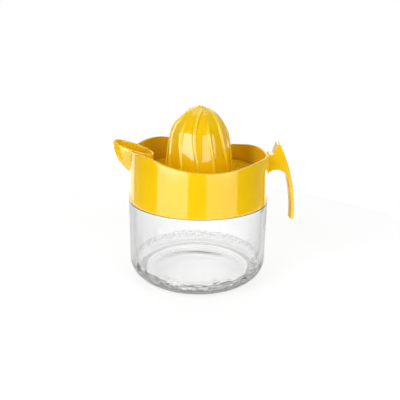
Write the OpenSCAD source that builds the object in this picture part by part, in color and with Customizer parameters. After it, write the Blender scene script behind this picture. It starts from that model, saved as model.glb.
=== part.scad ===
// Hand citrus juicer on a glass jar. Millimetres, +Z up, origin at the centre of the jar's foot.
// The pouring spout points to -X and the handle to +X.
// The yellow top is one moulding drawn as three nodes, and so is the lift-out insert, drawn as two.

/* [Jar] */
// outer diameter of the glass and of the collar above it
body_d = 110; // [100:1:124]
// height of the glass from the table to its shoulder
jar_h = 63.6; // [52:0.2:90]
// radius of the round between the foot and the side
heel_r = 15; // [9:0.5:18]
// thickness of the side glass
glass_t = 3.6; // [2.5:0.1:5]
// thickness of the glass floor
base_t = 6; // [4.5:0.1:9]
// height of the hollow under the floor
push_up = 2; // [1:0.1:3]
// height of the neck above the shoulder
neck_h = 16; // [14:0.2:20]

/* [Collar] */
// thickness of the bowl's wall at the rim
wall_t = 1.9; // [1.5:0.1:2.4]
// how much the collar's radius shrinks from its foot to the rim
draft = 1.6; // [0.6:0.1:2.2]
// thickness of the ledge that the strainer rests on
ledge_t = 1.8; // [1.4:0.1:2.6]
// height of the rim's low place above the strainer
bowl_h = 11.7; // [9:0.1:16]
// distance of the low place from the middle, towards the handle
dip_x = 11; // [0:0.5:16]
// rise of the rim on the spout side
spout_rise = 7.3; // [5:0.1:9]
// rise of the rim on the handle side
handle_rise = 3.8; // [2.5:0.1:7]
// thickness of the sealing ring
seal_t = 1.6; // [1.2:0.1:2.4]

/* [Spout] */
// reach of the lip beyond the collar
spout_out = 12; // [8:0.5:16]
// reach of the duct into the bowl
spout_in = 19.5; // [17:0.5:21]
// width of the lip
spout_w = 24; // [18:0.5:28]
// slope of the lip
spout_tilt = 17.2; // [10:0.2:22]
// thickness of the spout's wall
spout_t = 1.8; // [1.4:0.1:2.4]

/* [Handle] */
// width of the handle
handle_w = 14; // [9:0.5:18]
// thickness of the grip blade
blade_t = 4; // [3:0.1:5.5]
// reach of the grip beyond the collar
handle_out = 21.4; // [19:0.2:28]
// height of the grip's lower end above the table
grip_z = 48.4; // [42:0.2:54]
// height of the thumb rest above the arm
thumb_h = 5.8; // [4:0.2:10]

/* [Reamer] */
// diameter of the cone at its foot
cone_d = 50.4; // [44:0.2:56]
// height of the cone above the strainer
cone_h = 51.1; // [42:0.1:60]
// height of the ribs above the cone's face
rib_h = 0.8; // [0.5:0.1:1.4]
// width of a rib
rib_w = 1.6; // [1.2:0.1:2.4]
// thickness of the cone's wall
cone_t = 2; // [1.6:0.1:2.6]
// thickness of the strainer
plate_t = 2; // [1.6:0.1:2.8]
// diameter of a strainer hole
hole_d = 2.2; // [1.6:0.1:2.8]
// distance between strainer holes
hole_step = 4.4; // [3.8:0.1:6]

/* [Hidden] */
$fn = 96;
yellow = [0.96, 0.77, 0.07];
clear = [0.82, 0.87, 0.88, 0.45];
silicone = [0.93, 0.93, 0.9];

// gaps between pieces
slide_gap = 0.5;
face_gap = 0.2;
// radii of the body, the neck and the skirt around it
body_r = body_d / 2;
neck_r = body_r - 4.8;
mouth_r = neck_r - 3.4;
skirt_r = neck_r + 2;
bowl_r = body_r - draft - wall_t;
ledge_r = mouth_r - 0.6;
shoulder_r = 1;
// heights of the stack from the shoulder up
collar_z = jar_h + 0.4;
neck_z = jar_h + neck_h;
ledge_z = neck_z + seal_t + 0.1;
seat_z = ledge_z + ledge_t;
plate_z = seat_z + face_gap;
floor_z = plate_z + plate_t;

// The rim is three arcs that meet in line: a wide dip between two crests.
dip_z = floor_z + bowl_h;
dip_r = 140;
crest_r = 40;
crest_gap = dip_r + crest_r;
rim_top = dip_z + max(spout_rise, handle_rise);
rim_steps = 46;
foot_cut = 0.6;
function wall_r(z) = body_r - draft * (z - collar_z - foot_cut) / (rim_top - collar_z - foot_cut);
function crest_dx(rise) = sqrt(crest_gap * crest_gap - pow(crest_gap - rise, 2));
function meet_x(rise) = crest_dx(rise) * dip_r / crest_gap;
spout_crest_x = dip_x - crest_dx(spout_rise);
handle_crest_x = dip_x + crest_dx(handle_rise);

// The spout's underside is one arc from the ledge to the lip.
lip_x = -body_r - spout_out;
duct_x = -body_r + spout_in;
hull_in = 10.4;
hull_x = -body_r + hull_in;
hull_r = hull_x - lip_x;
tip_up = 2.7;
tip_z = seat_z + hull_r + tip_up;
lip_drop = (duct_x - lip_x) * tan(spout_tilt);
spout_half = spout_w / 2;
mid_x = (lip_x + duct_x) / 2;
lip_a = (duct_x - lip_x) / 2;
foot_len = 3.6;
lip_edge = 0.7;
hull_up = 20;
ring_n = 48;
ring_steps = 9;

// The grip's back is one arc that stands upright at its lower end.
grip_r = 125;
grip_x = body_r + handle_out;
grip_cx = grip_x - grip_r;
grip_end_z = grip_z + blade_t / 2;
arm_up = 0.4;
arm_z = dip_z + handle_rise + arm_up;
arch_drop = 19.7;
arch_z = arm_z - arch_drop;
function grip_at(r, z) = grip_cx + sqrt(r * r - pow(z - grip_end_z, 2));
arch_in = 2.2;
arch_r = (grip_at(grip_r - blade_t, arch_z) - body_r + arch_in) / 2;
arch_x = grip_at(grip_r - blade_t, arch_z) - arch_r;
thumb_r = 1.9;
thumb_in = 2.4;
root_in = 6;
thumb_z = arm_z + thumb_h;
thumb_x = grip_at(grip_r, thumb_z) - thumb_r;

// The cone's face is a long arc that stands upright at the foot and a short arc up to the tip.
cone_r = cone_d / 2;
flank_r = 150;
flank_a = 10.6;
flank_c = [cone_r - flank_r, floor_z];
flank_n = [cos(flank_a), sin(flank_a)];
bend = flank_c + flank_r * flank_n;
apex = [0, floor_z + cone_h];
crown_r = pow(norm(bend - apex), 2) / (2 * (flank_n * (bend - apex)));
crown_c = bend - crown_r * flank_n;
flank_steps = 6;
crown_steps = 18;
rib_pairs = 3;
rib_turn = -2.4;
short_a = 48;
short_lean = 14;
hole_rows = floor((ledge_r - cone_r - hole_step) / hole_step) + 1;

// Inside and outside of the glass, as half sections.
module jar_outside() {
    square([body_r - heel_r, heel_r + 1]);
    translate([body_r - heel_r, heel_r]) circle(r = heel_r);
    translate([0, heel_r]) square([body_r, jar_h - heel_r - shoulder_r]);
    translate([0, jar_h - shoulder_r - 1]) square([body_r - shoulder_r, shoulder_r + 1]);
    translate([body_r - shoulder_r, jar_h - shoulder_r]) circle(r = shoulder_r);
    translate([0, jar_h - 1]) square([neck_r - 1, neck_h + 1]);
    translate([0, jar_h - 1]) square([neck_r, neck_h]);
    translate([neck_r - 1, neck_z - 1]) circle(r = 1);
}

module jar_inside() {
    inner_r = body_r - glass_t;
    turn_r = heel_r - 2;
    slope_h = inner_r - mouth_r;
    slope_z = jar_h - 1 - slope_h;
    translate([0, base_t]) square([inner_r - turn_r, slope_z - base_t]);
    translate([0, base_t + turn_r]) square([inner_r, slope_z - base_t - turn_r]);
    translate([inner_r - turn_r, base_t + turn_r]) circle(r = turn_r);
    translate([0, slope_z]) polygon([[0, 0], [inner_r, 0], [mouth_r, slope_h], [0, slope_h]]);
    translate([0, slope_z]) square([mouth_r, neck_z]);
}

module glass_jar() {
    foot_r = body_r - heel_r - 3;
    hollow_r = (foot_r * foot_r + push_up * push_up) / (2 * push_up);
    color(clear)
        rotate_extrude()
            difference() {
                intersection() {
                    jar_outside();
                    square([body_d, neck_z + 1]);
                }
                jar_inside();
                translate([0, push_up - hollow_r]) circle(r = hollow_r, $fn = 360);
            }
}

module seal_ring() {
    color(silicone)
        translate([0, 0, neck_z])
            rotate_extrude()
                translate([mouth_r + 0.4, 0]) square([neck_r - mouth_r - 0.8, seal_t]);
}

// Height of the rim above a place along X.
function crest_at(dx, rise) = dip_z + rise - crest_r + sqrt(max(crest_r * crest_r - dx * dx, 1));
function rim_at(x) =
    x < dip_x - meet_x(spout_rise) ? crest_at(x - spout_crest_x, spout_rise)
    : x > dip_x + meet_x(handle_rise) ? crest_at(x - handle_crest_x, handle_rise)
    : dip_z + dip_r - sqrt(dip_r * dip_r - pow(x - dip_x, 2));

// Side view of everything that lies under the rim.
module under_rim() {
    half = body_r + 4;
    low = collar_z - 1;
    line = [
        for (k = [0 : rim_steps])
            let (x = half * (1 - 2 * k / rim_steps))
                [x, rim_at(x)]
    ];
    polygon(concat([[-half, low], [half, low]], line));
}

// Half section of the collar: skirt, ledge and a wall that narrows towards the rim.
module collar_section() {
    top = rim_top + wall_t;
    polygon([[skirt_r, collar_z], [body_r - foot_cut, collar_z], [body_r, collar_z + foot_cut],
             [wall_r(top), top], [bowl_r, top], [bowl_r, seat_z], [ledge_r, seat_z],
             [ledge_r, ledge_z], [skirt_r, ledge_z]]);
}

module screw_collar() {
    color(yellow)
        difference() {
            intersection() {
                rotate_extrude() collar_section();
                rotate([90, 0, 0]) linear_extrude(2 * body_d, center = true) under_rim();
            }
            spout_hull();
        }
}

// One ring of the spout: the lip's own oval inside the bowl, and half an oval out to x0.
// z0 is its height at the outer end and z1 at the inner end.
function ring(x0, z0, z1, inset) =
    let (a_in = lip_a - inset, half = spout_half - inset, xc = max(mid_x, x0 + foot_len),
         tc = acos((xc - mid_x) / a_in), x1 = mid_x + a_in)
    [
        for (k = [0 : ring_n - 1])
            let (a = 360 * k / ring_n, t = tc * (2 - a / 90), out = a < 90 || a > 270,
                 x = out ? xc - (xc - x0) * cos(a) : mid_x + a_in * cos(t),
                 y = out ? half * sin(tc) * sin(a) : half * sin(t))
                [x, y, z0 + (z1 - z0) * (x - x0) / (x1 - x0)]
    ];

// Rings from the foot up to the edge of the lip, drawn in by the given wall.
function spout_side(inset) = [
    for (k = [0 : ring_steps])
        let (a = 90 * k / ring_steps)
            ring(hull_x - (hull_r - inset) * sin(a),
                 seat_z + hull_r - (hull_r - inset) * cos(a),
                 seat_z + (hull_r - lip_drop) * k / ring_steps,
                 inset)
];

function spout_top(inset, up) = ring(lip_x + inset, tip_z + up, tip_z - lip_drop + up, inset);

// Skins a list of rings into one solid, joined end to end or closed with flat ends.
module skin(rings, ring_loop) {
    n = len(rings[0]);
    m = len(rings);
    last = ring_loop ? m : m - 1;
    points = [for (r = rings) for (p = r) p];
    sides = [
        for (j = [0 : last - 1])
            for (k = [0 : n - 1])
                let (a = j * n + k, b = j * n + (k + 1) % n, c = ((j + 1) % m) * n)
                    each [[a, b, c + k], [b, c + (k + 1) % n, c + k]]
    ];
    top = (m - 1) * n;
    ends = ring_loop ? [] : [
        for (k = [1 : n - 2])
            each [[0, k + 1, k], [top, top + k, top + k + 1]]
    ];
    polyhedron(points, concat(sides, ends));
}

// The space the spout takes, filled in and carried up past the rim.
module spout_hull() {
    skin(concat(spout_side(0), [spout_top(0, 0), spout_top(0, hull_up)]), false);
}

module pouring_spout() {
    inner = spout_side(spout_t);
    turned = [for (k = [ring_steps : -1 : 0]) inner[k]];
    color(yellow)
        skin(concat(spout_side(0), [spout_top(0, -lip_edge), spout_top(spout_t / 2, 0),
                                    spout_top(spout_t, -lip_edge)], turned), true);
}

// Side view of the handle, with the finger gap under its arm.
module handle_side() {
    root_x = body_r - root_in;
    difference() {
        intersection() {
            translate([grip_cx, grip_end_z]) circle(r = grip_r, $fn = 360);
            polygon([[root_x, grip_end_z], [root_x, arm_z], [body_r + thumb_in, arm_z],
                     [thumb_x - thumb_r, thumb_z], [grip_x + 1, thumb_z], [grip_x + 1, grip_end_z]]);
        }
        intersection() {
            translate([grip_cx, grip_end_z]) circle(r = grip_r - blade_t, $fn = 360);
            translate([root_x - 1, grip_z - blade_t]) square([body_d, arch_z - grip_z + blade_t]);
        }
        translate([arch_x, arch_z]) circle(r = arch_r);
    }
    translate([grip_x - blade_t / 2, grip_end_z]) circle(r = blade_t / 2);
    translate([thumb_x, thumb_z]) circle(r = thumb_r);
}

module handle() {
    color(yellow)
        difference() {
            rotate([90, 0, 0]) linear_extrude(handle_w, center = true) handle_side();
            cylinder(r1 = wall_r(0), r2 = wall_r(2 * thumb_z), h = 2 * thumb_z);
        }
}

// Half section of the cone, grown by the given amount.
function tip_a(grow) = acos(-crown_c[0] / (crown_r + grow));
function cone_line(grow) = [
    for (k = [0 : flank_steps])
        let (a = flank_a * k / flank_steps)
            flank_c + (flank_r + grow) * [cos(a), sin(a)],
    for (k = [1 : crown_steps - 1])
        let (a = flank_a + (tip_a(grow) - flank_a) * k / crown_steps)
            crown_c + (crown_r + grow) * [cos(a), sin(a)],
    [0, crown_c[1] + (crown_r + grow) * sin(tip_a(grow))]
];

module cone_side(grow) {
    polygon(concat([[0, floor_z]], cone_line(grow)));
}

// A thin plate across the cone makes two ribs that face each other.
module rib_pair(short) {
    end = crown_c + crown_r * [cos(short_a), sin(short_a)];
    rotate([90, 0, 0])
        linear_extrude(rib_w, center = true)
            for (side = [0, 1])
                mirror([side, 0])
                    difference() {
                        cone_side(rib_h);
                        if (short)
                            translate(end) rotate(short_a - short_lean) translate([-cone_d, 0])
                                square([2 * cone_d, cone_d]);
                    }
}

module reamer_cone() {
    color(yellow)
        difference() {
            union() {
                rotate_extrude() cone_side(0);
                for (k = [0 : rib_pairs - 1]) {
                    rotate(rib_turn + 90 + 60 * k) rib_pair(false);
                    rotate(rib_turn + 120 + 60 * k) rib_pair(true);
                }
            }
            translate([0, 0, -0.01]) rotate_extrude() cone_side(-cone_t);
        }
}

// Half width of the strainer's cut-out for the spout at x, or nothing beyond its end.
function cut_half(x) =
    let (u = (x - mid_x) / (lip_a + slide_gap))
        abs(u) < 1 ? (spout_half + slide_gap) * sqrt(1 - u * u) : 0;

module strainer() {
    hole_edge = hole_d / 2 + 1;
    cut = ring(lip_x - slide_gap, 0, 0, -slide_gap);
    color(yellow)
        translate([0, 0, plate_z])
            linear_extrude(plate_t)
                difference() {
                    circle(r = bowl_r - slide_gap);
                    circle(r = cone_r - cone_t);
                    polygon([for (p = cut) [p[0], p[1]]]);
                    for (row = [1 : hole_rows]) {
                        r = cone_r + row * hole_step;
                        count = floor(360 / (2 * asin(hole_step / (2 * r))));
                        for (k = [0 : count - 1]) {
                            a = 360 * (k + row % 2 / 2) / count;
                            spot = r * [cos(a), sin(a)];
                            near = min([for (p = cut) norm([p[0], p[1]] - spot)]);
                            if (near > hole_edge && abs(spot[1]) > cut_half(spot[0]))
                                translate(spot) circle(d = hole_d, $fn = 24);
                        }
                    }
                }
}

glass_jar();
seal_ring();
screw_collar();
pouring_spout();
handle();
strainer();
reamer_cone();
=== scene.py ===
import math

import bpy
import numpy as np
from mathutils import Matrix, Vector

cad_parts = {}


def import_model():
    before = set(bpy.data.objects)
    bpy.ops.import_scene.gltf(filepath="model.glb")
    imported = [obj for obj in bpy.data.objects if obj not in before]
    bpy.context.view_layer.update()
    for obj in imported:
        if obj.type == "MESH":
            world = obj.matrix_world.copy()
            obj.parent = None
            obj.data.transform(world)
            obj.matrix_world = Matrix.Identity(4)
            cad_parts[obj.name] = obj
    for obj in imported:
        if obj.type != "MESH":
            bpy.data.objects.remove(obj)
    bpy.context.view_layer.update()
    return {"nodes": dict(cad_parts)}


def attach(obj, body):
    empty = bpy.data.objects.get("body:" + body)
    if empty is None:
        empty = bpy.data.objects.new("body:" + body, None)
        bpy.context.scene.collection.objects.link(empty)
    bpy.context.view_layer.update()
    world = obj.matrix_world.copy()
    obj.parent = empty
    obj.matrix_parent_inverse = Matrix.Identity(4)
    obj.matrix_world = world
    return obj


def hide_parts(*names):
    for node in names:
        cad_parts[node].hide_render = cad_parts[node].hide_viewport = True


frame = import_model()
nodes = frame["nodes"]
MM = 0.001
TURN = 2 * math.pi

# Sizes in millimetres. They are the part's, but for three of the glass: in the visual the shoulder sits 0.2 mm
# higher (JAR_H), its edge is 0.6 mm sharper (SHOULDER_R) and the hollow below is 0.6 mm shallower (PUSH_UP).
BODY_R = 55.0
JAR_H = 63.8
HEEL_R = 15.0
GLASS_T = 3.6
BASE_T = 6.0
PUSH_UP = 1.4
SHOULDER_R = 0.4
NECK_R = 50.2
MOUTH_R = 46.8
NECK_Z = 79.6
SKIRT_R = 52.2
BOWL_R = 51.5
DRAFT = 1.6
LEDGE_R = 46.2
COLLAR_Z = 64.0
LEDGE_Z = 81.3
SEAT_Z = 83.1
FLOOR_Z = 85.3
DIP_X, DIP_Z, DIP_R, CREST_R = 11.0, 97.0, 140.0, 40.0
SPOUT_RISE, HANDLE_RISE = 7.3, 3.8
# The thread, which only the visual has: its rise in a turn, where it starts above the shoulder, how far it stands
# out and how steeply it fades at its ends.
LEAD, THREAD_Z, THREAD_H, THREAD_FADE = 10.0, 3.2, 1.2, 12
# Points of an outline this close are one point, and points this close to a wall lie on it.
NEAR, ON_WALL = 1e-4, 1e-3


# mesh helpers
def mesh_object(name, verts, faces, mat, sharp=None):
    me = bpy.data.meshes.new(name)
    me.from_pydata([tuple(v) for v in np.asarray(verts, float) * MM], [], faces)
    me.validate()
    me.shade_smooth()
    if sharp:
        me.set_sharp_from_angle(angle=math.radians(sharp))
    ob = bpy.data.objects.new(name, me)
    bpy.context.scene.collection.objects.link(ob)
    me.materials.append(mat)
    return ob


def grid_faces(rows, cols, loop_rows=False, flip=False):
    """Quads of a grid whose columns close on themselves."""
    out = []
    last = rows if loop_rows else rows - 1
    for j in range(last):
        a, b = j * cols, ((j + 1) % rows) * cols
        for k in range(cols):
            n = (k + 1) % cols
            q = (a + k, a + n, b + n, b + k)
            out.append(q[::-1] if flip else q)
    return out


def turned(r, z, phi):
    """Points of a turned grid from radius, height and angle."""
    return np.stack([r * np.cos(phi), r * np.sin(phi), z], -1).reshape(-1, 3)


def arc(cx, cz, r, a0, a1, n):
    a = np.radians(np.linspace(a0, a1, n))
    return [(cx + r * math.cos(t), cz + r * math.sin(t)) for t in a]


def line(p, q, n):
    return [(p[0] + (q[0] - p[0]) * t, p[1] + (q[1] - p[1]) * t) for t in np.linspace(0, 1, n)]


def joined(*parts):
    out = []
    for part in parts:
        for p in part:
            if not out or math.hypot(p[0] - out[-1][0], p[1] - out[-1][1]) > NEAR:
                out.append(p)
    return out


def bead(d, half, power=1.2):
    """A rounded ridge: 1 on its crest and 0 from half on."""
    u = np.clip(np.abs(d) / half, 0, 1)
    return (1 - u * u) ** power


def waves(t, *terms):
    """A sum of sine waves, each with its size, its count and its shift."""
    return sum(size * np.sin(count * t + shift) for size, count, shift in terms)


def thread(phi, z, drop, first, last, half):
    """How far a two-start thread stands out. It runs from the first to the last share of a turn."""
    out = 0.0
    for start in (0.0, 0.5):
        f = (phi / TURN + start) % 1.0
        fade = np.clip((f - first) * THREAD_FADE, 0, 1) * np.clip((last - f) * THREAD_FADE, 0, 1)
        out = np.maximum(out, THREAD_H * fade * bead(z - (JAR_H + THREAD_Z + LEAD * f - drop), half))
    return out


# materials
BUMP_STRENGTH = 0.5
PLASTIC_IOR, PLASTIC_SHINE, GLASS_IOR = 1.56, 0.75, 1.5
# painted highlight: the crests of the reamer's ribs are painted in this lighter yellow
PAINTED_RIB_HIGHLIGHT = (0.955, 0.7, 0.035, 1)  # the crests of the ribs
# painted shade on the glass, greyer towards the edges of the walls
GLASS_EDGE_SHADE = [  # from facing to turned away
    (0.0, (0.995, 0.997, 0.996)), (0.4, (0.985, 0.988, 0.987)), (0.62, (0.92, 0.925, 0.925)),
    (0.74, (0.7, 0.71, 0.71)), (0.86, (0.4, 0.41, 0.41)), (1.0, (0.2, 0.21, 0.21)),
]


def new_material(name):
    m = bpy.data.materials.new(name)
    m.use_nodes = True
    nt = m.node_tree
    return m, nt, nt.nodes["Principled BSDF"]


def noise(nt, scale, detail=3.0):
    co = nt.nodes.new("ShaderNodeTexCoord")
    n = nt.nodes.new("ShaderNodeTexNoise")
    n.inputs["Scale"].default_value = scale
    n.inputs["Detail"].default_value = detail
    nt.links.new(co.outputs["Object"], n.inputs["Vector"])
    return n.outputs["Fac"]


def ramp(nt, fac, stops):
    r = nt.nodes.new("ShaderNodeValToRGB")
    while len(r.color_ramp.elements) < len(stops):
        r.color_ramp.elements.new(0.5)
    for e, (pos, col) in zip(r.color_ramp.elements, stops):
        e.position = pos
        e.color = (*col, 1)
    nt.links.new(fac, r.inputs["Fac"])
    return r.outputs["Color"]


def map_range(nt, fac, lo, hi, f0=0.3, f1=0.7):
    """Maps f0 to lo and f1 to hi. The usual f0 and f1 are about the least and the most of a noise."""
    n = nt.nodes.new("ShaderNodeMapRange")
    n.inputs["From Min"].default_value = f0
    n.inputs["From Max"].default_value = f1
    n.inputs["To Min"].default_value = lo
    n.inputs["To Max"].default_value = hi
    nt.links.new(fac, n.inputs["Value"])
    return n.outputs["Result"]


def math_node(nt, op, a, b=None):
    n = nt.nodes.new("ShaderNodeMath")
    n.operation = op
    for k, v in enumerate((a, b)):
        if v is None:
            continue
        if isinstance(v, (int, float)):
            n.inputs[k].default_value = v
        else:
            nt.links.new(v, n.inputs[k])
    return n.outputs["Value"]


def two_tones(nt, scale, dark, light):
    """A colour that varies a little over the surface."""
    return ramp(nt, noise(nt, scale), [(0.3, dark), (0.7, light)])


def bump(nt, bsdf, height, distance):
    b = nt.nodes.new("ShaderNodeBump")
    b.inputs["Distance"].default_value = distance
    b.inputs["Strength"].default_value = BUMP_STRENGTH
    nt.links.new(height, b.inputs["Height"])
    nt.links.new(b.outputs["Normal"], bsdf.inputs["Normal"])


def plastic():
    m, nt, b = new_material("yellow_plastic")
    tone = two_tones(nt, 45.0, (0.905, 0.55, 0.003), (0.93, 0.58, 0.005))
    # painted highlight: the crest attribute mixes a lighter yellow onto the crests of the ribs
    crest = nt.nodes.new("ShaderNodeAttribute")
    crest.attribute_name = "crest"
    highlight_mix = nt.nodes.new("ShaderNodeMix")
    highlight_mix.data_type = "RGBA"
    nt.links.new(crest.outputs["Fac"], highlight_mix.inputs["Factor"])
    nt.links.new(tone, highlight_mix.inputs["A"])
    highlight_mix.inputs["B"].default_value = PAINTED_RIB_HIGHLIGHT
    nt.links.new(highlight_mix.outputs["Result"], b.inputs["Base Color"])
    nt.links.new(map_range(nt, noise(nt, 160.0), 0.07, 0.11), b.inputs["Roughness"])
    b.inputs["IOR"].default_value = PLASTIC_IOR
    b.inputs["Specular IOR Level"].default_value = PLASTIC_SHINE
    bump(nt, b, noise(nt, 130.0, 2.0), 0.00001)
    return m


def glass(name, passing):
    """Glass that is clear where all the light passes and cloudy where less does."""
    m, nt, b = new_material(name)
    # painted shade: upright walls are painted greyer where they turn away from the line of sight, darkest at the
    # edges
    geo = nt.nodes.new("ShaderNodeNewGeometry")
    sep = nt.nodes.new("ShaderNodeSeparateXYZ")
    nt.links.new(geo.outputs["Normal"], sep.inputs["Vector"])
    upright = map_range(nt, math_node(nt, "ABSOLUTE", sep.outputs["Z"]), 1.0, 0.0, 0.55, 0.9)
    facing = nt.nodes.new("ShaderNodeLayerWeight")
    facing.inputs["Blend"].default_value = 0.5
    away = math_node(nt, "MULTIPLY", facing.outputs["Facing"], upright)
    uneven = math_node(nt, "MULTIPLY", math_node(nt, "SUBTRACT", noise(nt, 25.0), 0.5), 0.06)
    tone = ramp(nt, math_node(nt, "ADD", away, uneven), GLASS_EDGE_SHADE)
    nt.links.new(tone, b.inputs["Base Color"])
    nt.links.new(map_range(nt, noise(nt, 60.0), 0.0, 0.012), b.inputs["Roughness"])
    b.inputs["IOR"].default_value = GLASS_IOR
    b.inputs["Transmission Weight"].default_value = passing
    bump(nt, b, noise(nt, 35.0, 2.0), 0.0002)
    return m


def silicone():
    m, nt, b = new_material("silicone")
    tone = two_tones(nt, 80.0, (0.83, 0.83, 0.8), (0.88, 0.88, 0.85))
    nt.links.new(tone, b.inputs["Base Color"])
    nt.links.new(map_range(nt, noise(nt, 200.0), 0.38, 0.5), b.inputs["Roughness"])
    bump(nt, b, noise(nt, 400.0), 0.00003)
    return m


yellow = plastic()
clear = glass("clear_glass", 1.0)
white_rubber = silicone()

# glass jar
JAR_COLS = 744
FOOT_R, FOOT_W = BODY_R - HEEL_R, 3.0
INNER_R = BODY_R - GLASS_T
NECK_ROUND = 1.0
SLOPE_Z, SLOPE_H = JAR_H + 3.0, 5.4  # inside the shoulder
CORNER_R, CORNER_RISE = 6.5, 2.2  # the corner inside, and how far the floor rises towards it
AXIS_R = 0.4  # flat caps close the middle
HEEL_ROWS, INSIDE_ROWS = 140, 106  # the heel is in the first rows of the mesh, and the inside is the last ones
DETAIL_Z = HEEL_R + 2.0  # wrinkles and cloudiness end here
# knobs round the foot: how many, radius, height, the height below which they lie and the ring's radius
KNOBS, KNOB_R, KNOB_H, KNOB_Z, KNOB_RING_R = 124, 0.85, 0.4275, 3.0, 45.0
KNOB_ROWS = ((4.4, 0.0), (6.4, 0.5))  # how far up the heel, and how far out of step
# unevenness inside: how far the wall and the floor sway, and the height and radius at which that fades
WALL_SWAY, FLOOR_SWAY, SWAY_Z, SWAY_R = 1.2, 0.35, 26.0, 44.0
# cloudy heel: how many tones, the light that the cloudiest keeps back and the least share of it in a streak
CLOUD_STEPS, CLOUD_MOST, STREAK_LEAST = 4, 0.38, 0.45
CLOUD_BY_SLOPE = ((0.04, 0.14, 0.3, 0.46, 0.75, 1.0), (0, 1, 1, 0.4, 0.3, 0.1))  # how far it faces down, how cloudy


def jar_profile():
    """The section, from the middle of the underside up the outside and down the inside to the floor."""
    foot_in = FOOT_R - FOOT_W
    hollow_r = (foot_in ** 2 + PUSH_UP ** 2) / (2 * PUSH_UP)
    hollow_z = PUSH_UP - hollow_r
    slope_w = INNER_R - MOUTH_R
    slope_end = SLOPE_Z - SLOPE_H
    floor_r = INNER_R - CORNER_R
    corner_z = BASE_T + CORNER_RISE + CORNER_R
    edge = NECK_ROUND
    return joined(
        [(r, hollow_z + math.sqrt(hollow_r ** 2 - r * r)) for r in np.linspace(AXIS_R, foot_in, 26)],
        line((foot_in, 0), (FOOT_R, 0), 7),
        arc(FOOT_R, HEEL_R, HEEL_R, -90, -65, 32),
        arc(FOOT_R, HEEL_R, HEEL_R, -65, 0, 56),
        line((BODY_R, HEEL_R), (BODY_R, JAR_H - SHOULDER_R), 26),
        arc(BODY_R - SHOULDER_R, JAR_H - SHOULDER_R, SHOULDER_R, 0, 90, 9),
        line((BODY_R - SHOULDER_R, JAR_H), (NECK_R + edge, JAR_H), 3),
        arc(NECK_R + edge, JAR_H + edge, edge, 270, 180, 6),
        line((NECK_R, JAR_H + edge), (NECK_R, NECK_Z - edge), 46),
        arc(NECK_R - edge, NECK_Z - edge, edge, 0, 90, 7),
        line((NECK_R - edge, NECK_Z), (MOUTH_R + edge, NECK_Z), 3),
        arc(MOUTH_R + edge, NECK_Z - edge, edge, 90, 180, 7),
        line((MOUTH_R, NECK_Z - edge), (MOUTH_R, SLOPE_Z), 8),
        [(MOUTH_R + slope_w * (0.5 - 0.5 * math.cos(math.pi * t)), SLOPE_Z - SLOPE_H * t)
         for t in np.linspace(0, 1, 16)],
        line((INNER_R, slope_end), (INNER_R, corner_z), 24),
        arc(floor_r, corner_z, CORNER_R, 0, -80, 60),
        [(r, BASE_T + CORNER_RISE * (r / floor_r) ** 4) for r in np.linspace(floor_r, AXIS_R, 22)],
    )


def foot_knobs(r, z, phi, along):
    """Two rows of small knobs round the foot."""
    low = (r > FOOT_R + 0.5) & (z < KNOB_Z)
    for row, step in KNOB_ROWS:
        across = ((phi / TURN * KNOBS + step) % 1.0 - 0.5) * (TURN * KNOB_RING_R / KNOBS)
        knob = np.sqrt(np.clip(1 - ((along - row) ** 2 + across ** 2) / KNOB_R ** 2, 0, 1))
        z = np.where(low, z - KNOB_H * knob, z)
    return z


def heel_wrinkles(r, z, phi, along, outside):
    """Fine wrinkles over the heel."""
    heel = (r > FOOT_R + 5) & (z < DETAIL_Z) & outside
    crease = waves(along, (0.05, 3.0, waves(phi, (3, 4, 0), (2, 9, 1), (1.2, 21, 0))),
                   (0.03, 4.7, waves(phi, (2, 6, 0), (1.5, 17, 1))))
    crease *= np.clip((along - 5) / 3, 0, 1) * np.clip((DETAIL_Z - z) / 6, 0, 1)
    tilt = along / HEEL_R
    return np.where(heel, r + crease * np.sin(tilt), r), np.where(heel, z - crease * np.cos(tilt), z)


def uneven_inside(r, z, phi, inside):
    """Pressed glass is never quite even inside, most of all round the heel."""
    low = np.clip(1 - (z - BASE_T) / SWAY_Z, 0, 1)
    edge = np.clip(r / SWAY_R, 0, 1) ** 4
    sway = waves(phi, (0.5, 3, 0.6), (0.3, 7, 2.1 + 0.05 * z), (0.3, 13, 0.11 * z), (0.25, 22, 2 * np.sin(5 * phi)))
    ripple = waves(z, (0.06, 2.9, waves(phi, (4, 3, 1), (2.5, 8, 0), (1.5, 19, 2))),
                   (0.03, 4.3, waves(phi, (2, 5, 0), (1.7, 13, 1))))
    ripple *= np.clip(low * 1.4 - 0.1, 0, 1)
    out = (WALL_SWAY * sway * low ** 2 + ripple) * edge
    up = FLOOR_SWAY * np.sin(5 * phi + 1.1) * low * edge
    return np.where(inside, r + out, r), np.where(inside, z + up, z)


def cloud_heel(ob):
    """The outside of the heel, which faces down, is a little cloudy in streaks."""
    for k in range(1, CLOUD_STEPS + 1):
        ob.data.materials.append(glass("cloudy_glass_%d" % k, 1 - CLOUD_MOST * k / CLOUD_STEPS))
    polys = ob.data.polygons
    normal, centre = np.empty(len(polys) * 3), np.empty(len(polys) * 3)
    polys.foreach_get("normal", normal)
    polys.foreach_get("center", centre)
    x, y, z = centre.reshape(-1, 3).T / MM
    phi = np.arctan2(y, x)
    streak = waves(phi, (0.6, 41, 2 * np.sin(7 * phi) + 0.9 * z), (0.5, 97, 3 * np.sin(11 * phi) - 0.6 * z))
    cloud = np.interp(-normal[2::3], *CLOUD_BY_SLOPE)
    cloud *= STREAK_LEAST + (1 - STREAK_LEAST) * np.clip(0.5 + 0.5 * streak, 0, 1)
    cloud = np.where((np.hypot(x, y) > FOOT_R) & (z < DETAIL_Z), cloud, 0)
    polys.foreach_set("material_index", np.rint(cloud * CLOUD_STEPS).astype(np.int32))


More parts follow.
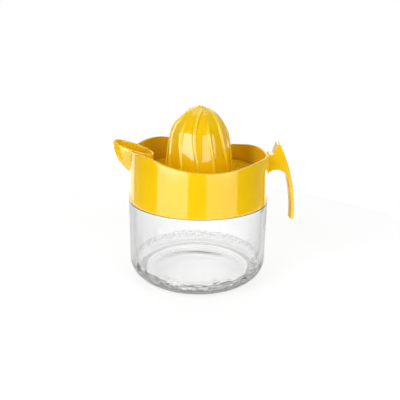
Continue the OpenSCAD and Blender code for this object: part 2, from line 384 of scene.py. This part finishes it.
def jar():
    p = np.array(jar_profile())
    rows, cols = len(p), JAR_COLS
    row = np.arange(rows)[:, None]
    r = np.repeat(p[:, :1], cols, 1)
    z = np.repeat(p[:, 1:], cols, 1)
    phi = np.repeat(np.linspace(0, TURN, cols, endpoint=False)[None, :], rows, 0)
    neck = (np.abs(r - NECK_R) < ON_WALL) & (z > JAR_H + NECK_ROUND / 2)
    r = np.where(neck, np.maximum(r, NECK_R + thread(phi, z, 0.0, 0.0, 1.0, 1.1)), r)
    along = np.arctan2(r - FOOT_R, HEEL_R - z) * HEEL_R
    z = foot_knobs(r, z, phi, along)
    r, z = heel_wrinkles(r, z, phi, along, row < HEEL_ROWS)
    r, z = uneven_inside(r, z, phi, row > rows - INSIDE_ROWS)
    faces = grid_faces(rows, cols)
    faces.append(tuple(range(cols))[::-1])
    faces.append(tuple((rows - 1) * cols + k for k in range(cols)))
    ob = mesh_object("jar_glass", turned(r, z, phi), faces, clear, sharp=60)
    cloud_heel(ob)
    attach(ob, "jar")
    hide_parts("glass_jar")


# spout
SPOUT_COLS, SPOUT_STEPS, LIP_STEPS = 144, 40, 11
SPOUT_T = 1.8
LIP_X = -BODY_R - 12
DUCT_X = -BODY_R + 19.5
HULL_X = -BODY_R + 10.4
HULL_R = HULL_X - LIP_X
TIP_Z = SEAT_Z + HULL_R + 2.7
LIP_DROP = (DUCT_X - LIP_X) * math.tan(math.radians(17.2))
SPOUT_HALF = 12.0
MID_X = (LIP_X + DUCT_X) / 2
LIP_A = (DUCT_X - LIP_X) / 2
FOOT_LEN = 3.6
CUT_INSET, CUT_UP = 0.9, 20.0  # the cut in the bowl's wall runs in the middle of the spout's skin, and past its lip


def spout_ring(x0, z0, z1, inset):
    """A ring of the spout, from z0 at its outer end x0 to z1 at the duct."""
    a_in, half = LIP_A - inset, SPOUT_HALF - inset
    xc = max(MID_X, x0 + FOOT_LEN)
    tc = math.acos((xc - MID_X) / a_in)
    x1 = MID_X + a_in
    out = []
    for k in range(SPOUT_COLS):
        a = TURN * k / SPOUT_COLS
        if math.cos(a) > 1e-9:
            x = xc - (xc - x0) * math.cos(a)
            y = half * math.sin(tc) * math.sin(a)
        else:
            t = tc * (2 - a / (math.pi / 2))
            x, y = MID_X + a_in * math.cos(t), half * math.sin(t)
        out.append((x, y, z0 + (z1 - z0) * (x - x0) / (x1 - x0)))
    return out


def spout_side(inset):
    reach = HULL_R - inset
    out = []
    for k in range(SPOUT_STEPS + 1):
        a = math.pi / 2 * k / SPOUT_STEPS
        out.append(spout_ring(HULL_X - reach * math.sin(a), SEAT_Z + HULL_R - reach * math.cos(a),
                              SEAT_Z + (HULL_R - LIP_DROP) * k / SPOUT_STEPS, inset))
    return out


def spout_top(inset, up):
    return spout_ring(LIP_X + inset, TIP_Z + up, TIP_Z - LIP_DROP + up, inset)


def spout():
    half = SPOUT_T / 2
    lip = [spout_top(half - half * math.cos(a), -half + half * math.sin(a))
           for a in np.linspace(0, math.pi, LIP_STEPS)]
    rings = spout_side(0) + lip + spout_side(SPOUT_T)[::-1]
    v = np.array(rings).reshape(-1, 3)
    faces = grid_faces(len(rings), SPOUT_COLS, loop_rows=True, flip=True)
    ob = mesh_object("spout_shell", v, faces, yellow, sharp=50)
    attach(ob, "top")
    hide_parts("pouring_spout")


def spout_solid():
    """The space inside the spout's skin, to cut the bowl's wall open."""
    n = SPOUT_COLS
    rings = spout_side(CUT_INSET) + [spout_top(CUT_INSET, 0), spout_top(CUT_INSET, CUT_UP)]
    v = np.array(rings).reshape(-1, 3)
    faces = grid_faces(len(rings), n, flip=True)
    faces.append(tuple(range(n)))
    faces.append(tuple((len(rings) - 1) * n + k for k in range(n))[::-1])
    return mesh_object("spout_cut", v, faces, yellow)


# collar
COLLAR_COLS = 384
WALL_Z = COLLAR_Z + 0.6  # the wall leans in from here
JOIN_Z = 84.2  # the section is drawn up to here, and fitted to the rim above it
RIM_Z = 100.0  # about the height of the rim
RIM_ROUND = 0.95
FOOT_ROUND, BOWL_ROUND, LEDGE_ROUND, SKIRT_ROUND = 0.4, 1.0, 0.5, 0.6


def rim_at(x):
    """Height of the rim: a dip between two crests, all arcs."""
    gap = DIP_R + CREST_R

    def crest_dx(rise):
        return math.sqrt(gap * gap - (gap - rise) ** 2)

    left, right = crest_dx(SPOUT_RISE), crest_dx(HANDLE_RISE)
    if x < DIP_X - left * DIP_R / gap:
        return DIP_Z + SPOUT_RISE - CREST_R + math.sqrt(CREST_R ** 2 - (x - DIP_X + left) ** 2)
    if x > DIP_X + right * DIP_R / gap:
        return DIP_Z + HANDLE_RISE - CREST_R + math.sqrt(CREST_R ** 2 - (x - DIP_X - right) ** 2)
    return DIP_Z + DIP_R - math.sqrt(DIP_R ** 2 - (x - DIP_X) ** 2)


def wall_r(z):
    """Radius of the collar's outside, which narrows towards the rim."""
    return BODY_R - DRAFT * (z - WALL_Z) / (DIP_Z + SPOUT_RISE - WALL_Z)


def collar_columns(ang):
    """The section at each angle: up the outside, over the rim and down the inside."""
    low = joined(
        line((SKIRT_R + SKIRT_ROUND, COLLAR_Z), (BODY_R - FOOT_ROUND, COLLAR_Z), 4),
        arc(BODY_R - FOOT_ROUND, COLLAR_Z + FOOT_ROUND, FOOT_ROUND, -90, 0, 6),
        [(wall_r(z), z) for z in np.linspace(WALL_Z, JOIN_Z, 12)],
    )
    back = joined(
        [(BOWL_R, JOIN_Z)],
        arc(BOWL_R - BOWL_ROUND, SEAT_Z + BOWL_ROUND, BOWL_ROUND, 0, -90, 5),
        line((BOWL_R - BOWL_ROUND, SEAT_Z), (LEDGE_R + LEDGE_ROUND, SEAT_Z), 4),
        arc(LEDGE_R + LEDGE_ROUND, SEAT_Z - LEDGE_ROUND, LEDGE_ROUND, 90, 180, 4),
        arc(LEDGE_R + LEDGE_ROUND, LEDGE_Z + LEDGE_ROUND, LEDGE_ROUND, 180, 270, 4),
        line((LEDGE_R + LEDGE_ROUND, LEDGE_Z), (SKIRT_R - SKIRT_ROUND, LEDGE_Z), 4),
        arc(SKIRT_R - SKIRT_ROUND, LEDGE_Z - SKIRT_ROUND, SKIRT_ROUND, 90, 0, 4),
        line((SKIRT_R, LEDGE_Z - SKIRT_ROUND), (SKIRT_R, COLLAR_Z + SKIRT_ROUND), 50),
        arc(SKIRT_R + SKIRT_ROUND, COLLAR_Z + SKIRT_ROUND, SKIRT_ROUND, 180, 270, 5),
    )[:-1]
    out = []
    for a in ang:
        turn_z = rim_at(wall_r(RIM_Z) * math.cos(a)) - RIM_ROUND
        out_r = wall_r(turn_z)
        mid, wide = (out_r + BOWL_R) / 2, (out_r - BOWL_R) / 2
        up = [(wall_r(z), z) for z in np.linspace(JOIN_Z, turn_z, 14)[1:-1]]
        edge = [(mid + wide * math.cos(e), turn_z + RIM_ROUND * math.sin(e)) for e in np.linspace(0, math.pi, 15)]
        down = line((BOWL_R, turn_z), (BOWL_R, JOIN_Z), 8)[1:-1]
        out.append(low + up + edge + down + back)
    return out


def collar():
    ang = np.linspace(0, TURN, COLLAR_COLS, endpoint=False)
    p = np.array(collar_columns(ang)).transpose(1, 0, 2)
    r, z = p[:, :, 0], p[:, :, 1]
    phi = np.repeat(ang[None, :], len(p), 0)
    skirt = np.abs(r - SKIRT_R) < ON_WALL
    # its thread lies under the jar's
    r = np.where(skirt, np.minimum(r, SKIRT_R - thread(phi, z, LEAD / 4, 0.22, 0.95, 1.0)), r)
    faces = grid_faces(len(p), COLLAR_COLS, loop_rows=True)
    ob = mesh_object("collar_moulding", turned(r, z, phi), faces, yellow)
    cut = spout_solid()
    mod = ob.modifiers.new("spout", "BOOLEAN")
    mod.operation = "DIFFERENCE"
    mod.solver = "EXACT"
    mod.object = cut
    deps = bpy.context.evaluated_depsgraph_get()
    me = bpy.data.meshes.new_from_object(ob.evaluated_get(deps))
    ob.modifiers.clear()
    ob.data = me
    me.shade_smooth()
    me.set_sharp_from_angle(angle=math.radians(40))
    bpy.data.objects.remove(cut)
    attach(ob, "top")
    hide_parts("screw_collar")


# handle
BLADE, HANDLE_W, HANDLE_SLICES = 4.0, 14.0, 15
GRIP_R, GRIP_X = 125.0, BODY_R + 21.4
GRIP_CX, GRIP_Z = GRIP_X - GRIP_R, 48.4 + BLADE / 2
ARM_Z = DIP_Z + HANDLE_RISE + 0.4
ARCH_Z, ARCH_IN = ARM_Z - 19.7, 2.2
THUMB_R, THUMB_Z = 1.9, ARM_Z + 5.8
ROOT_X = BODY_R - 2.1  # inside the collar's wall
CROWN, TAPER = 1.5, 0.36
HANDLE_ROUND, ROUND_STEPS, ROUND_FROM = 1.2, 6, 38


def grip_at(r, z):
    """Where an arc about the grip's centre is at a height."""
    return GRIP_CX + math.sqrt(r * r - (z - GRIP_Z) ** 2)


def handle():
    inner = GRIP_R - BLADE
    arch_r = (grip_at(inner, ARCH_Z) - BODY_R + ARCH_IN) / 2
    arch_x = grip_at(inner, ARCH_Z) - arch_r
    thumb_x = grip_at(GRIP_R, THUMB_Z) - THUMB_R
    a_top = math.degrees(math.asin((THUMB_Z - GRIP_Z) / GRIP_R))
    a_arch = math.degrees(math.asin((ARCH_Z - GRIP_Z) / inner))
    a_root = math.degrees(math.acos((ROOT_X - arch_x) / arch_r))
    # the arm, the thumb rest, the outside of the grip, its end, its finger side and the arch
    outline = joined(
        [(ROOT_X, ARM_Z - 1.6), (BODY_R - 1.2, ARM_Z - 0.35), (BODY_R - 0.4, ARM_Z - 0.05)],
        line((BODY_R + 0.2, ARM_Z), (BODY_R + 1.6, ARM_Z), 4),
        arc(BODY_R + 1.6, ARM_Z + 1, 1, -90, -8, 6),
        line((BODY_R + 2.62, ARM_Z + 1.1), (thumb_x - THUMB_R, THUMB_Z), 6),
        arc(thumb_x, THUMB_Z, THUMB_R, 172, 28, 18),
        arc(GRIP_CX, GRIP_Z, GRIP_R, a_top, 0, 60),
        arc(GRIP_X - BLADE / 2, GRIP_Z, BLADE / 2, 0, -180, 16),
        arc(GRIP_CX, GRIP_Z, inner, 0, a_arch, 36),
        arc(arch_x, ARCH_Z, arch_r, 0, a_root, 36),
    )
    n = len(outline)
    fade_h = 0.9 * arch_r

    def crown(x, z, y):
        """The finger side of the grip is a little thinner towards its two edges."""
        fade = min(max((ARCH_Z + fade_h - z) / fade_h, 0), 1) if x > arch_x else 0
        depth = min((grip_at(GRIP_R, z) - x) / BLADE, 1) if fade else 0
        return CROWN * depth * fade * fade * (3 - 2 * fade) * (2 * y / HANDLE_W) ** 2

    def narrow(z):
        """The whole handle narrows downwards."""
        return 1 - TAPER * (THUMB_Z - z) / (THUMB_Z - GRIP_Z)

    v = []
    for y in np.linspace(-HANDLE_W / 2, HANDLE_W / 2, HANDLE_SLICES):
        v += [(x + crown(x, z, y), y * narrow(z), z) for x, z in outline]
    last = (HANDLE_SLICES - 1) * n
    faces = [tuple(range(n))[::-1], tuple(range(last, last + n))]
    faces += grid_faces(HANDLE_SLICES, n)
    ob = mesh_object("handle_moulding", v, faces, yellow)
    b = ob.modifiers.new("round", "BEVEL")
    b.width = HANDLE_ROUND * MM
    b.segments = ROUND_STEPS
    b.limit_method = "ANGLE"
    b.angle_limit = math.radians(ROUND_FROM)
    b.harden_normals = True
    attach(ob, "top")
    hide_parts("handle")


# reamer cone
CONE_R, CONE_H, CONE_T = 25.2, 51.1, 2.0
FLANK_R, FLANK_A = 150.0, math.radians(10.6)
RIBS, RIB_TURN = 12, -2.4
RIB_H, PANEL_H, PANEL_SINK = 0.9, 0.3, 0.65
SWIRL_FROM, CLOSE_FROM = 0.875, 0.8  # shares of the height
SHORT_TOP, SHORT_FADE = 0.83, 0.2  # every second rib ends below the tip
LEAST_R = 0.05


def polar(a):
    return np.array([math.cos(a), math.sin(a)])


def eased(share, power):
    return math.sin(math.pi / 2 * min(share, 1.0)) ** power


def rib_sway(s):
    """The ribs' S-curve in degrees, with a swirl at the tip."""
    sway = 3.5 * (1 - s) - 7.2 * math.sin(math.pi * min(s / SWIRL_FROM, 1.0) ** 1.9)
    return sway + 25 * max(0.0, (s - SWIRL_FROM) / (1 - SWIRL_FROM)) ** 1.3


def ribs_at(s, radius, off, long_rib):
    """How far the surface stands out, and how much of that is rib."""
    # the panels sink below the ribs on the way up, and both meet at the tip
    close = max(0.0, (s - CLOSE_FROM) / (1 - CLOSE_FROM)) ** 1.5
    panel = PANEL_H - PANEL_SINK * eased(s / 0.7, 0.8) + (PANEL_SINK - PANEL_H) * close
    crest = RIB_H - RIB_H * close
    wide = min(1.0 + 0.65 * eased(s / 0.8, 1.3), 0.2 * radius)
    d = np.radians(off) * radius
    keep = min(max((SHORT_TOP - s) / SHORT_FADE, 0), 1) ** 0.8
    short = keep * bead(d, wide * (0.4 + 0.6 * keep), 0.6)
    rise = np.where(long_rib, bead(d, wide, 0.6), short)
    return panel + (crest - panel) * rise, rise


def reamer():
    flank_c = np.array([CONE_R - FLANK_R, FLOOR_Z])
    flank_n = polar(FLANK_A)
    bend = flank_c + FLANK_R * flank_n
    down = bend - np.array([0, FLOOR_Z + CONE_H])
    crown_r = float(down @ down / (2 * (flank_n @ down)))
    crown_c = bend - crown_r * flank_n
    tip = math.acos(-crown_c[0] / crown_r)
    meridian = [(flank_c + FLANK_R * polar(a), a) for a in np.linspace(0, FLANK_A, 30)]
    meridian += [(crown_c + crown_r * polar(a), a) for a in np.linspace(FLANK_A, tip, 70)[1:-1]]
    # angles about one rib, closer together on the rib itself
    per = np.concatenate([np.linspace(-15, -9, 4)[:-1], np.linspace(-9, 9, 37), np.linspace(9, 15, 4)[1:-1]])
    cols = len(per) * RIBS
    which = np.repeat(np.arange(RIBS), len(per))
    off = np.tile(per, RIBS)
    base = off + 360 / RIBS * which + RIB_TURN - 90
    rows, crests = [], []
    for p, a in meridian:
        s = min(max((p[1] - FLOOR_Z) / CONE_H, 0.0), 1.0)
        h, rise = ribs_at(s, max(p[0], LEAST_R), off, which % 2 == 0)
        crests.append(rise)
        rows.append(turned(p[0] + h * math.cos(a), p[1] + h * math.sin(a), np.radians(base + rib_sway(s))))
    inner_tip = math.acos(-crown_c[0] / (crown_r - CONE_T))
    inner = [crown_c + (crown_r - CONE_T) * polar(a) for a in np.linspace(inner_tip, FLANK_A, 30)[1:]]
    inner += [flank_c + (FLANK_R - CONE_T) * polar(a) for a in np.linspace(FLANK_A, 0, 14)[1:]]
    inner_rows = [turned(p[0], np.full(cols, p[1]), np.radians(base)) for p in inner]
    outer_n = len(rows) * cols
    top = outer_n + len(inner) * cols
    tips = [[0, 0, rows[-1][:, 2].max() + 0.02], [0, 0, inner[0][1] + 0.05]]
    v = np.concatenate(rows + inner_rows + [tips])
    faces = grid_faces(len(rows), cols)
    faces += [tuple(i + outer_n for i in f) for f in grid_faces(len(inner), cols)]
    last, foot = outer_n - cols, top - cols
    for k in range(cols):
        m = (k + 1) % cols
        faces.append((last + k, last + m, top))
        faces.append((outer_n + m, top + 1, outer_n + k))
        faces.append((foot + k, foot + m, m, k))
    ob = mesh_object("reamer_moulding", v, faces, yellow, sharp=75)
    # painted highlight on the ribs, as strong as each point of the outside stands out as rib
    painted_highlight = np.zeros(len(v))
    painted_highlight[:outer_n] = np.concatenate(crests)
    ob.data.attributes.new("crest", "FLOAT", "POINT").data.foreach_set("value", painted_highlight)
    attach(ob, "insert")
    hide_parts("reamer_cone")


jar()
spout()
collar()
handle()
reamer()

LOOKS = {"strainer": yellow, "seal_ring": white_rubber, "glass_jar": clear, "screw_collar": yellow,
         "pouring_spout": yellow, "handle": yellow, "reamer_cone": yellow}
for name, mat in LOOKS.items():
    ob = nodes[name]
    ob.data.materials.clear()
    ob.data.materials.append(mat)

# floor, light and camera
FLOOR_R, FLOOR_SIDES, FLOOR_DOWN = 255.0, 128, -0.3
FLOOR_GLOW, FLOOR_WHITE = 0.35, 0.72  # light of its own, and how white it is to the camera
# lights: azimuth, distance, height above the table, width, height, radiance and how far below itself it aims
REFLECTED = (  # these show as reflections in the plastic
    ("window_left", -39, 0.7, 0.23, 0.66, 0.52, 4.2),
    ("window_right", 39, 0.7, 0.23, 0.66, 0.52, 2.4),
    ("low_left", -39, 0.7, -0.15, 0.66, 0.24, 1.7),
    ("low_right", 39, 0.7, -0.15, 0.66, 0.24, 1.0),
)
EVEN = (  # these light it evenly
    ("key_left", -40, 0.7, 0.32, 0.34, 0.84, 5.0, 0.2),
    ("key_right", 42, 0.7, 0.32, 0.34, 0.84, 3.8, 0.2),
    ("sky", 0, 0.1, 0.95, 0.6, 0.6, 1.2, 0.85),
)
BOTH = (  # and these do both
    ("top", 180, 0.30, 0.85, 0.7, 0.5, 0.7, 0.75),
    ("rim_left", -145, 0.8, 0.05, 0.62, 0.6, 1.2),
    ("rim_right", 155, 0.8, -0.1, 0.48, 0.3, 1.8),
    ("back", 180, 0.8, 0.38, 0.5, 0.25, 1.4),
)
THROUGH_STRENGTH = 1.04
# the photo's camera: degrees round the object, its own turn, its dip and its roll, its place and its focal length
CAM_AROUND, CAM_YAW, CAM_PITCH, CAM_ROLL = 2.0, 0.21, 18.16, 1.08
CAM_AT = (0, -0.390, 0.1888)
FOCAL_PX, PHOTO_PX, SENSOR = 511.4, 400, 36


def floor():
    v = [(FLOOR_R * math.cos(a), FLOOR_R * math.sin(a), FLOOR_DOWN)
         for a in np.linspace(0, TURN, FLOOR_SIDES, endpoint=False)]
    m, nt, b = new_material("pale_floor")
    tone = two_tones(nt, 6.0, (0.9, 0.9, 0.9), (0.93, 0.93, 0.93))
    nt.links.new(tone, b.inputs["Base Color"])
    nt.links.new(map_range(nt, noise(nt, 30.0), 0.6, 0.7), b.inputs["Roughness"])
    nt.links.new(tone, b.inputs["Emission Color"])
    b.inputs["Emission Strength"].default_value = FLOOR_GLOW
    white = nt.nodes.new("ShaderNodeEmission")
    ray = nt.nodes.new("ShaderNodeLightPath")
    mix = nt.nodes.new("ShaderNodeMixShader")
    # white to the camera, but for a faint shadow round the foot
    nt.links.new(map_range(nt, ray.outputs["Is Camera Ray"], 0.0, FLOOR_WHITE), mix.inputs["Fac"])
    nt.links.new(b.outputs["BSDF"], mix.inputs[1])
    nt.links.new(white.outputs["Emission"], mix.inputs[2])
    nt.links.new(mix.outputs["Shader"], nt.nodes["Material Output"].inputs["Surface"])
    ob = mesh_object("floor", v, [tuple(range(FLOOR_SIDES))], m)
    ob.visible_transmission = False


def softbox(name, azimuth, dist, z, width, height, radiance, tilt=0.0):
    """A flat light facing the object. Azimuth 0 is the camera's side and + is to the right."""
    data = bpy.data.lights.new(name, "AREA")
    data.shape = "RECTANGLE"
    data.size = width
    data.size_y = height
    data.energy = radiance * math.pi * width * height
    ob = bpy.data.objects.new(name, data)
    a = math.radians(azimuth)
    ob.location = (dist * math.sin(a), -dist * math.cos(a), z)
    aim = Vector((0, 0, z - tilt)) - Vector(ob.location)
    ob.rotation_euler = aim.to_track_quat("-Z", "Y").to_euler()
    ob.visible_camera = False
    ob.visible_transmission = False
    bpy.context.scene.collection.objects.link(ob)
    return ob


def world():
    w = bpy.data.worlds.new("studio")
    bpy.context.scene.world = w
    w.use_nodes = True
    nt = w.node_tree
    nt.nodes.clear()
    out = nt.nodes.new("ShaderNodeOutputWorld")
    co = nt.nodes.new("ShaderNodeTexCoord")
    sep = nt.nodes.new("ShaderNodeSeparateXYZ")
    nt.links.new(co.outputs["Generated"], sep.inputs["Vector"])
    ray = nt.nodes.new("ShaderNodeLightPath")

    def grey(*stops):
        return [(pos, (v, v, v)) for pos, v in stops]

    # the room: dark in front, white behind
    room = ramp(nt, map_range(nt, sep.outputs["Y"], 0, 1, -0.2, 1.0),
                grey((0.0, 0.02), (0.35, 0.1), (0.75, 0.5), (1.0, 0.65)))
    # what shows through the glass: white straight behind, greyer to the sides, darker above and right below
    side = math_node(nt, "ABSOLUTE", sep.outputs["X"])
    behind = ramp(nt, side, grey((0.0, 1.0), (0.06, 0.98), (0.2, 0.86), (0.6, 0.68), (1.0, 0.6)))
    high = ramp(nt, map_range(nt, sep.outputs["Z"], 0, 1, -1.0, 0.5),
                grey((0.02, 0.4), (0.14, 0.7), (0.27, 1.0), (0.66, 1.0), (0.8, 0.75), (0.95, 0.4)))
    through = nt.nodes.new("ShaderNodeMix")
    through.data_type = "RGBA"
    through.blend_type = "MULTIPLY"
    through.inputs["Factor"].default_value = 1.0
    nt.links.new(behind, through.inputs["A"])
    nt.links.new(high, through.inputs["B"])

    def layer(color, strength=1.0):
        bg = nt.nodes.new("ShaderNodeBackground")
        bg.inputs["Strength"].default_value = strength
        if color is not None:
            nt.links.new(color, bg.inputs["Color"])
        else:
            bg.inputs["Color"].default_value = (1, 1, 1, 1)
        return bg.outputs["Background"]

    def mixed(fac, one, two):
        mix = nt.nodes.new("ShaderNodeMixShader")
        nt.links.new(fac, mix.inputs["Fac"])
        nt.links.new(one, mix.inputs[1])
        nt.links.new(two, mix.inputs[2])
        return mix.outputs["Shader"]

    glazed = layer(through.outputs["Result"], THROUGH_STRENGTH)
    seen = mixed(ray.outputs["Is Transmission Ray"], layer(room), glazed)
    nt.links.new(mixed(ray.outputs["Is Camera Ray"], seen, layer(None)), out.inputs["Surface"])


def camera():
    yaw, pitch, roll = math.radians(CAM_YAW), math.radians(CAM_PITCH), math.radians(CAM_ROLL)
    f = Vector((math.sin(yaw) * math.cos(pitch), math.cos(yaw) * math.cos(pitch), -math.sin(pitch)))
    right = f.cross(Vector((0, 0, 1))).normalized()
    up = right.cross(f)
    r2 = math.cos(roll) * right + math.sin(roll) * up
    u2 = -math.sin(roll) * right + math.cos(roll) * up
    m = Matrix((r2, u2, -f)).transposed().to_4x4()
    m = Matrix.Rotation(math.radians(CAM_AROUND), 4, "Z") @ Matrix.Translation(Vector(CAM_AT)) @ m
    data = bpy.data.cameras.new("photo")
    data.sensor_width = SENSOR
    data.sensor_fit = "HORIZONTAL"
    data.lens = FOCAL_PX * SENSOR / PHOTO_PX
    data.clip_start = 0.01
    ob = bpy.data.objects.new("photo", data)
    ob.matrix_world = m
    bpy.context.scene.collection.objects.link(ob)
    bpy.context.scene.camera = ob


floor()
for row in REFLECTED:
    softbox(*row).visible_diffuse = False
for row in EVEN:
    softbox(*row).visible_glossy = False
for row in BOTH:
    softbox(*row)
world()
camera()
bpy.context.scene.view_settings.view_transform = "Standard"
